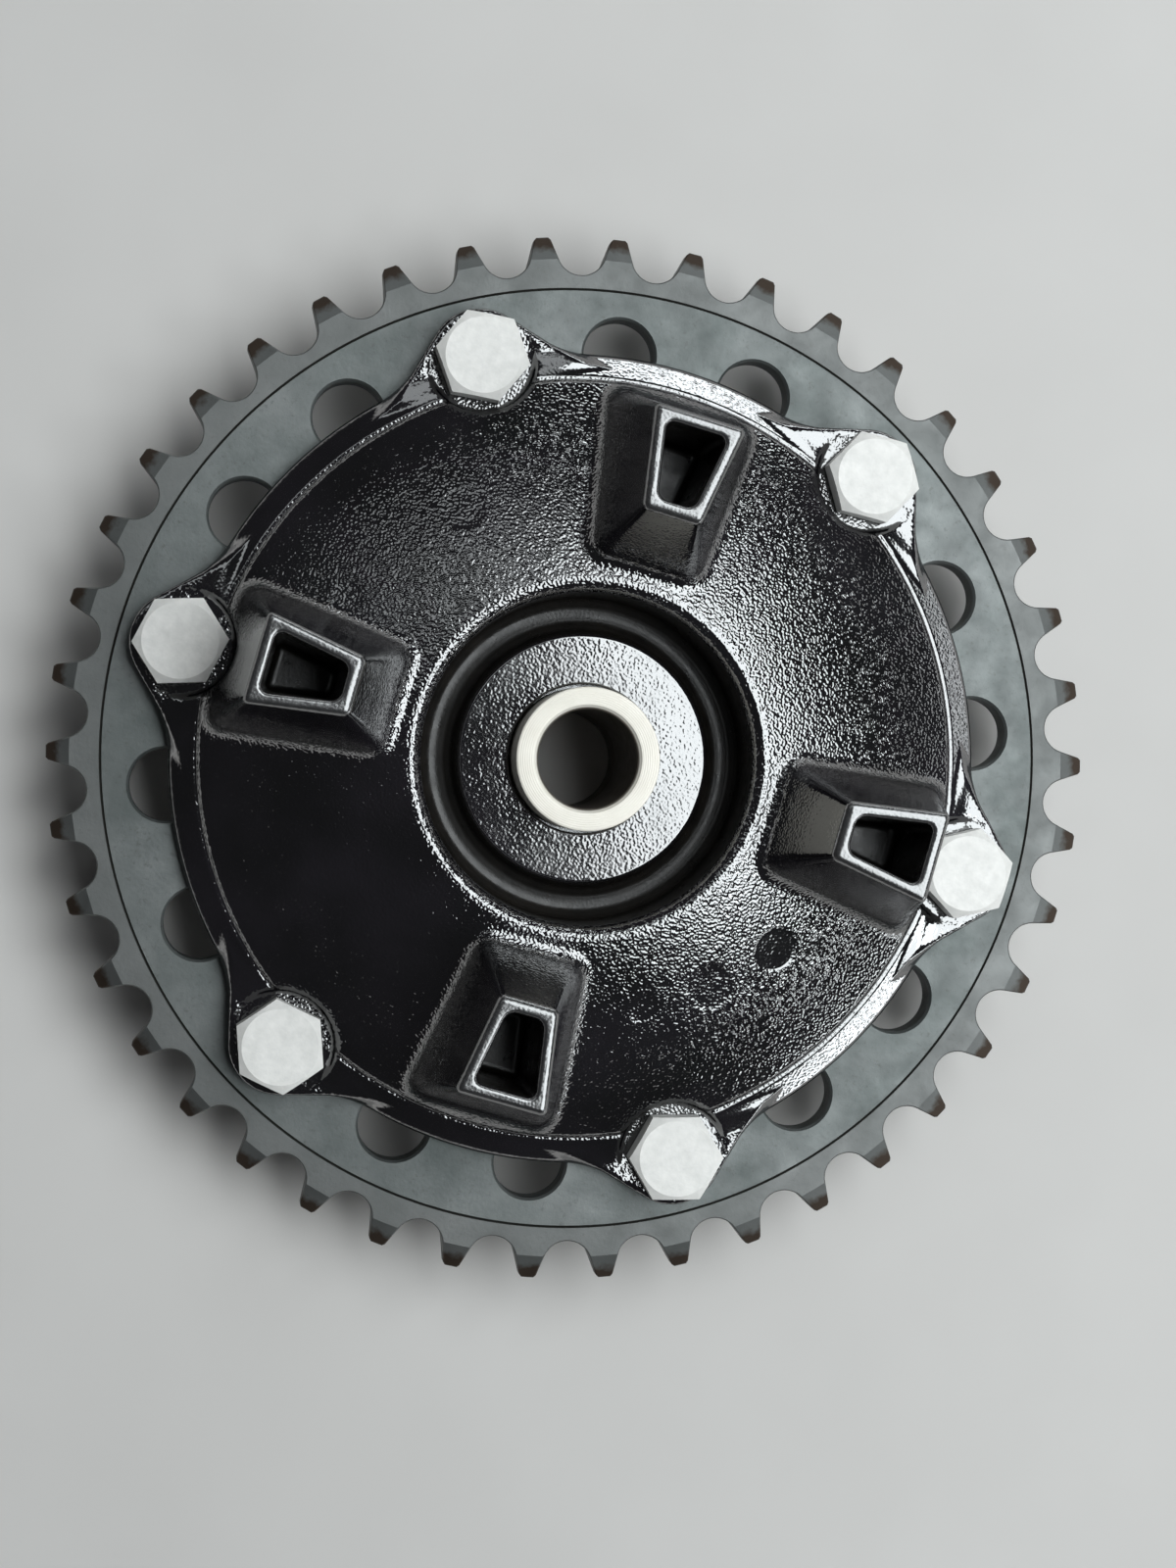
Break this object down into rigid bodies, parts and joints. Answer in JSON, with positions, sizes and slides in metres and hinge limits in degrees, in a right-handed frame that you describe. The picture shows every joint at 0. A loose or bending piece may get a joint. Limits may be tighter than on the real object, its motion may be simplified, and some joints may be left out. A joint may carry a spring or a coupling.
{
  "type": "sprocket carrier",
  "caption": "Chain sprocket bolted to a black lugged carrier that turns on a sealed ball bearing about an axle bush; the driven half of a lugged shaft coupling.",
  "frame": {"origin": "on the axle, at the rear face of the collar that the part stands on", "axes": "+Z along the axle towards the lugs; +X through a lug and the first bolt"},
  "size_m": [0.2184, 0.2182, 0.0697],
  "materials": {
    "black_paint": "gloss black paint on cast aluminium",
    "sprocket_steel": "clouded grey steel plate",
    "zinc_plate": "pale zinc plate",
    "bush_steel": "turned and plated, ivory",
    "bearing_steel": "ground bearing steel",
    "cage_brass": "machined brass",
    "seal_rubber": "moulded rubber",
    "spring_steel": "dark spring steel"
  },
  "bodies": {
    "axle": {"axle_bush": "bush_steel", "outer_collar": "bush_steel", "bearing_inner_ring": "bearing_steel"},
    "carrier": {"carrier": "black_paint", "sprocket": "sprocket_steel", "bolt_1": "zinc_plate", "bolt_2": "zinc_plate", "bolt_3": "zinc_plate", "bolt_4": "zinc_plate", "bolt_5": "zinc_plate", "bolt_6": "zinc_plate", "washer_1": "zinc_plate", "washer_2": "zinc_plate", "washer_3": "zinc_plate", "washer_4": "zinc_plate", "washer_5": "zinc_plate", "washer_6": "zinc_plate", "nut_1": "zinc_plate", "nut_2": "zinc_plate", "nut_3": "zinc_plate", "nut_4": "zinc_plate", "nut_5": "zinc_plate", "nut_6": "zinc_plate", "bearing_outer_ring": "bearing_steel", "bearing_seal_front": "seal_rubber", "bearing_seal_rear": "seal_rubber", "circlip": "spring_steel", "dust_seal": "seal_rubber"},
    "ball_train": {"bearing_cage": "cage_brass", "bearing_ball_1": "bearing_steel", "bearing_ball_2": "bearing_steel", "bearing_ball_3": "bearing_steel", "bearing_ball_4": "bearing_steel", "bearing_ball_5": "bearing_steel", "bearing_ball_6": "bearing_steel", "bearing_ball_7": "bearing_steel", "bearing_ball_8": "bearing_steel", "bearing_ball_9": "bearing_steel"}
  },
  "joints": [
    {"name": "carrier_spin", "type": "hinge", "parent": "axle", "child": "carrier", "pos_m": [0, 0, 0.0185], "axis": [0, 0, 1], "continuous": true},
    {"name": "ball_spin", "type": "hinge", "parent": "axle", "child": "ball_train", "pos_m": [0, 0, 0.0185], "axis": [0, 0, 1], "continuous": true}
  ],
  "couplings": [
    {"joint": "ball_spin", "follows": "carrier_spin", "ratio": 0.6031}
  ]
}
